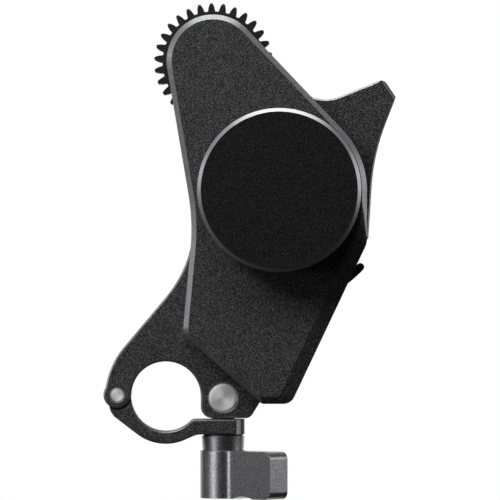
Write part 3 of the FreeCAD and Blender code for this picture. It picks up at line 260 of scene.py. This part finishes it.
def dress(frame):
    """Gives every CAD node the finish of its slot, and each clamp pin its own turned face."""
    finishes = {slot: finish_of(*facts)[0] for slot, facts in PLAIN_FINISHES.items()}
    finishes["black_anodised"] = blasted_anodised()
    finishes["black_knob"] = knob_anodised()
    finishes["satin_black"] = satin_anodised()
    for entry in frame["record"]["subparts"]:
        piece = frame["nodes"][entry["node"]]
        finish = finishes[entry["material_slot"]]
        if entry["node"] in ("trunnion_pin", "hinge_pin"):
            finish = turned_steel("turned_" + entry["node"], node_centre(entry["node"]))
        for place in piece.material_slots:
            place.material = finish


def studio_floor():
    """A pale floor under the object, which hangs on its rod above it."""
    mesh = bpy.data.meshes.new("studio_floor")
    shape = bmesh.new()
    bmesh.ops.create_grid(shape, x_segments=1, y_segments=1, size=FLOOR_SIZE / 2)
    bmesh.ops.translate(shape, verts=shape.verts, vec=Vector((VIEW_X, 0, FLOOR_Z)))
    shape.to_mesh(mesh)
    shape.free()
    floor = bpy.data.objects.new("studio_floor", mesh)
    bpy.context.scene.collection.objects.link(floor)
    mesh.materials.append(finish_of("pale_floor", 0.0, 0.9, "#c8c8c8", 0.1)[0])
    # The real unit hung far above anything pale, so the floor takes the shadow but lights nothing
    floor.visible_glossy = False
    floor.visible_diffuse = False


def studio_world():
    """White to the camera and, behind the object, to metal; elsewhere a dim room that is darkest low down."""
    world = bpy.data.worlds.new("studio")
    bpy.context.scene.world = world
    world.use_nodes = True
    tree = world.node_tree
    background = tree.nodes["Background"]
    rays = add(tree, "ShaderNodeLightPath")
    around = add(tree, "ShaderNodeTexCoord")
    away = add(tree, "ShaderNodeSeparateXYZ", links={0: around.outputs["Generated"]})
    behind = ramp(tree, away.outputs["Y"], *BACKDROP_FADE, 0.0, 1.0)
    beside = ramp(tree, away.outputs["Y"], *FRONT_FADE, FRONT_SHARE, 1.0)
    dim = ramp(tree, away.outputs["Z"], *LOW_FADE, WALL_LOW_LIGHT, WALL_TOP_LIGHT)
    walls = add(tree, "ShaderNodeMath", {"operation": "MULTIPLY"}, {0: beside, 1: dim})
    room = mix(tree, behind, walls.outputs[0], BACKDROP_LIGHT)
    shiny = add(tree, "ShaderNodeMath", {"operation": "MAXIMUM"},
                {0: rays.outputs["Is Glossy Ray"], 1: rays.outputs["Is Transmission Ray"]})
    seen_in_metal = mix(tree, shiny.outputs[0], FILL_LIGHT, room)
    strength = mix(tree, rays.outputs["Is Camera Ray"], seen_in_metal, 1.0)
    tree.links.new(strength, background.inputs["Strength"])
    background.inputs["Color"].default_value = (1, 1, 1, 1)


def softbox(name, place, width, height, power):
    """A rectangular lamp that faces the housing's middle."""
    lamp = bpy.data.lights.new(name, "AREA")
    lamp.shape = "RECTANGLE"
    lamp.size, lamp.size_y = width, height
    lamp.energy = power
    holder = bpy.data.objects.new(name, lamp)
    bpy.context.scene.collection.objects.link(holder)
    holder.location = place
    holder.rotation_euler = (Vector((VIEW_X, 0, VIEW_Z)) - Vector(place)).to_track_quat("-Z", "Y").to_euler()


def camera():
    """The photograph's camera, whose frame is FRAME_WIDTH wide at the clamp's front face."""
    lens = bpy.data.cameras.new("camera")
    lens.type = "PERSP"
    lens.sensor_width = SENSOR_MM
    lens.lens = SENSOR_MM * VIEW_DISTANCE / FRAME_WIDTH
    lens.clip_end = VIEW_END
    holder = bpy.data.objects.new("camera", lens)
    bpy.context.scene.collection.objects.link(holder)
    holder.location = (VIEW_X, CLAMP_FRONT_Y - VIEW_DISTANCE, VIEW_Z)
    holder.rotation_euler = (math.radians(90), 0, 0)
    bpy.context.scene.camera = holder


def studio():
    """Floor, room, lamps and camera."""
    studio_floor()
    studio_world()
    for lamp in LAMPS:
        softbox(*lamp)
    camera()
    bpy.context.scene.view_settings.view_transform = "Standard"


def main():
    """Loads the CAD, dresses and lights it."""
    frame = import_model()
    dress(frame)
    studio()


main()
